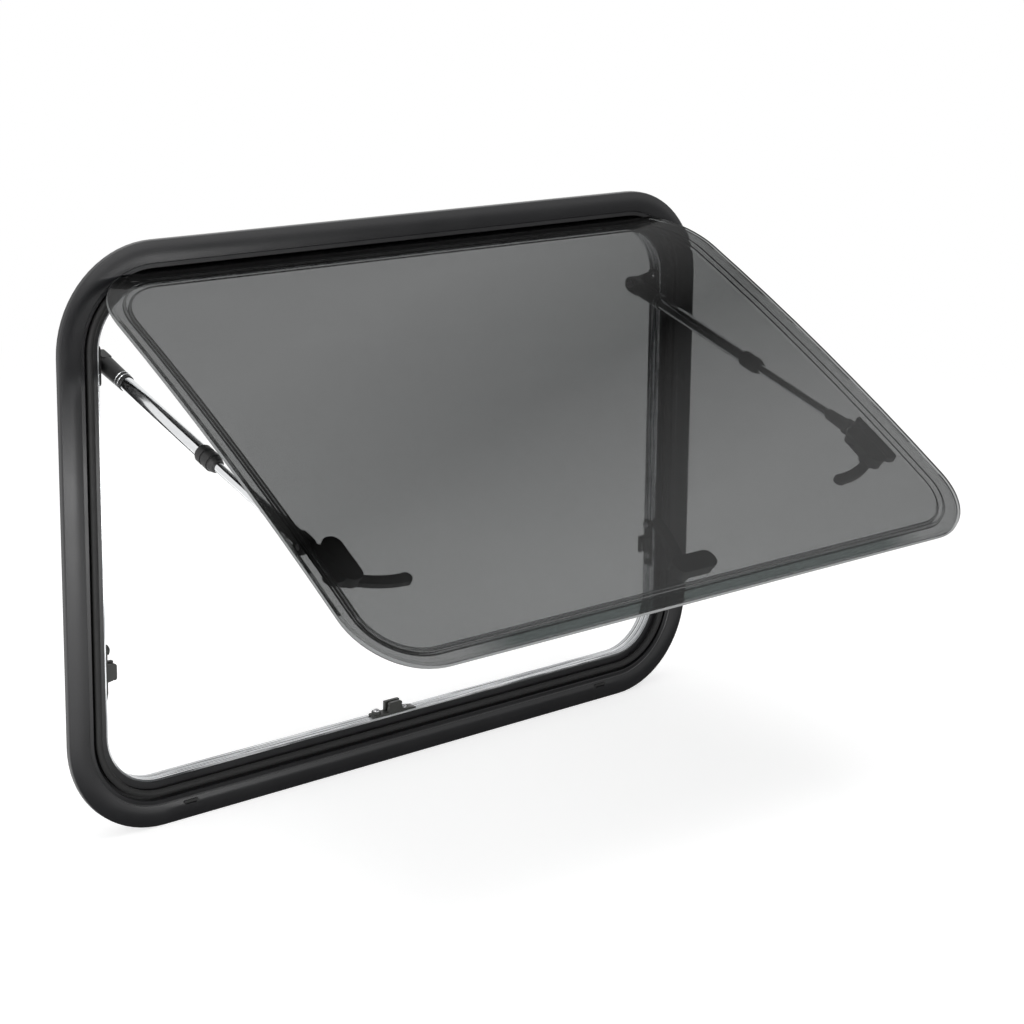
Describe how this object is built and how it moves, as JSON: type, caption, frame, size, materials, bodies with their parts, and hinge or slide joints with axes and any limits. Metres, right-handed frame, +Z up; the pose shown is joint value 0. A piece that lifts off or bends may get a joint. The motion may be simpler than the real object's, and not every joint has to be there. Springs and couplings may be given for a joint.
{
  "type": "caravan window",
  "caption": "Top hinged caravan window with a black frame, a smoked double acrylic pane held open by telescopic stays, and turning latches.",
  "frame": {"origin": "middle of the flat back of the frame's bottom rail, on the face that rests on the outside of the wall", "axes": "+X to the right seen from outside, +Y from the outside into the room, +Z up"},
  "size_m": [0.7, 0.4262, 0.5],
  "materials": {
    "frame_black": "satin powder coat",
    "seal_rubber": "matt",
    "bright_aluminium": "ribbed, natural anodised",
    "hinge_black": "satin",
    "smoked_acrylic": "polished, smoke tint",
    "inner_acrylic": "polished, smoke tint, vacuum formed",
    "stay_chrome": "polished",
    "black_plastic": "fine grain",
    "catch_plastic": "fine grain",
    "pin_steel": "brushed"
  },
  "bodies": {
    "root": {"outer_frame": "frame_black", "frame_seal": "seal_rubber", "clamp_ring": "bright_aluminium", "hinge_rail": "hinge_black", "left_rail_cap": "black_plastic", "right_rail_cap": "black_plastic", "left_drain_cover": "black_plastic", "right_drain_cover": "black_plastic", "left_side_catch": "catch_plastic", "right_side_catch": "catch_plastic", "bottom_catch": "catch_plastic", "left_stay_bracket": "black_plastic", "right_stay_bracket": "black_plastic", "left_frame_pin": "pin_steel", "right_frame_pin": "pin_steel", "left_stay_end": "black_plastic", "left_stay_tube": "stay_chrome", "left_stay_collar": "black_plastic", "left_stay_rod": "stay_chrome", "left_rod_eye": "black_plastic", "right_stay_end": "black_plastic", "right_stay_tube": "stay_chrome", "right_stay_collar": "black_plastic", "right_stay_rod": "stay_chrome", "right_rod_eye": "black_plastic", "left_sash_pin": "pin_steel", "right_sash_pin": "pin_steel", "left_stay_foot": "black_plastic", "right_stay_foot": "black_plastic", "outer_pane": "smoked_acrylic", "inner_pane": "inner_acrylic", "sash_hinge": "hinge_black", "left_latch_base": "black_plastic", "right_latch_base": "black_plastic", "middle_latch_base": "black_plastic", "left_latch_spindle": "pin_steel", "right_latch_spindle": "pin_steel", "middle_latch_spindle": "pin_steel", "left_latch_lever": "black_plastic", "right_latch_lever": "black_plastic", "middle_latch_lever": "black_plastic"}
  },
  "joints": []
}
